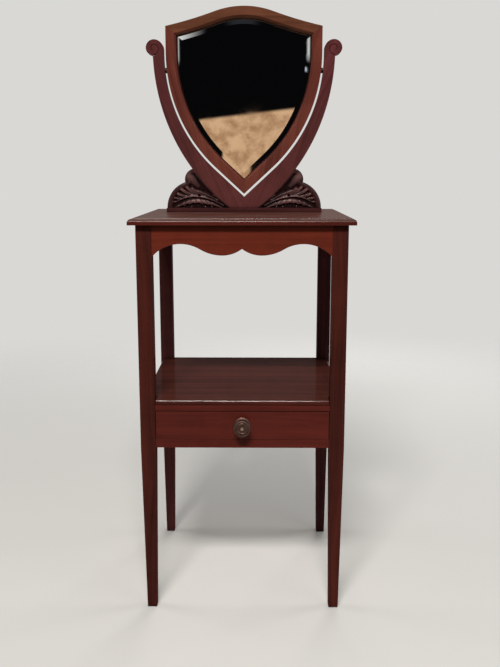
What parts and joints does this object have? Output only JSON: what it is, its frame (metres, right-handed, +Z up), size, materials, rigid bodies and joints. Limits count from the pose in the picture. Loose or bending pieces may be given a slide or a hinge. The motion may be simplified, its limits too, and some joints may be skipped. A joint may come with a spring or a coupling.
{
  "type": "washstand with shield mirror",
  "caption": "Square mahogany washstand on tapered legs, with a moulded top, shaped apron, open shelf, shallow drawer and a shield mirror tilting between scrolled uprights.",
  "frame": {"origin": "on the floor under the middle of the four legs, which is the middle of the bounding box", "axes": "+X to the right as seen from the front, +Y to the back, +Z up; the drawer opens along -Y"},
  "size_m": [0.412, 0.428, 1.1715],
  "materials": {
    "mahogany": "french polished, worn",
    "pine": "bare, aged",
    "brass": "dull patina",
    "steel": "dull",
    "mirror": "silvered, bevelled"
  },
  "bodies": {
    "stand": {"front_left_leg": "mahogany", "front_right_leg": "mahogany", "back_left_leg": "mahogany", "back_right_leg": "mahogany", "top_board": "mahogany", "front_apron": "mahogany", "left_top_rail": "mahogany", "right_top_rail": "mahogany", "back_top_rail": "mahogany", "shelf_board": "mahogany", "drawer_top_rail": "mahogany", "drawer_bottom_rail": "mahogany", "left_side_panel": "mahogany", "right_side_panel": "mahogany", "back_panel": "mahogany", "mirror_plinth": "mahogany", "left_upright": "mahogany", "right_upright": "mahogany", "left_carved_wing": "mahogany", "right_carved_wing": "mahogany", "left_drawer_runner": "pine", "right_drawer_runner": "pine", "left_drawer_guide": "pine", "right_drawer_guide": "pine", "left_drawer_kicker": "pine", "right_drawer_kicker": "pine", "drawer_stops": "pine", "top_glue_blocks": "pine", "left_pivot_bush": "brass", "right_pivot_bush": "brass", "mirror_screws": "steel"},
    "mirror": {"crest_rail": "mahogany", "left_stile": "mahogany", "right_stile": "mahogany", "mirror_glass": "mirror", "mirror_backboard": "pine", "backboard_screws": "steel", "left_pivot_pin": "brass", "right_pivot_pin": "brass"},
    "drawer": {"drawer_front": "mahogany", "drawer_left_side": "pine", "drawer_right_side": "pine", "drawer_back": "pine", "drawer_bottom": "pine", "drawer_bottom_pins": "steel", "knob": "brass", "knob_rose": "brass", "knob_nut": "brass"}
  },
  "joints": [
    {"name": "mirror_tilt", "type": "hinge", "parent": "stand", "child": "mirror", "pos_m": [0, 0.062, 1.0486], "axis": [1, 0, 0], "range_deg": [-120, 120]},
    {"name": "drawer_slide", "type": "slide", "parent": "stand", "child": "drawer", "axis": [0, -1, 0], "range_m": [0, 0.26]}
  ]
}
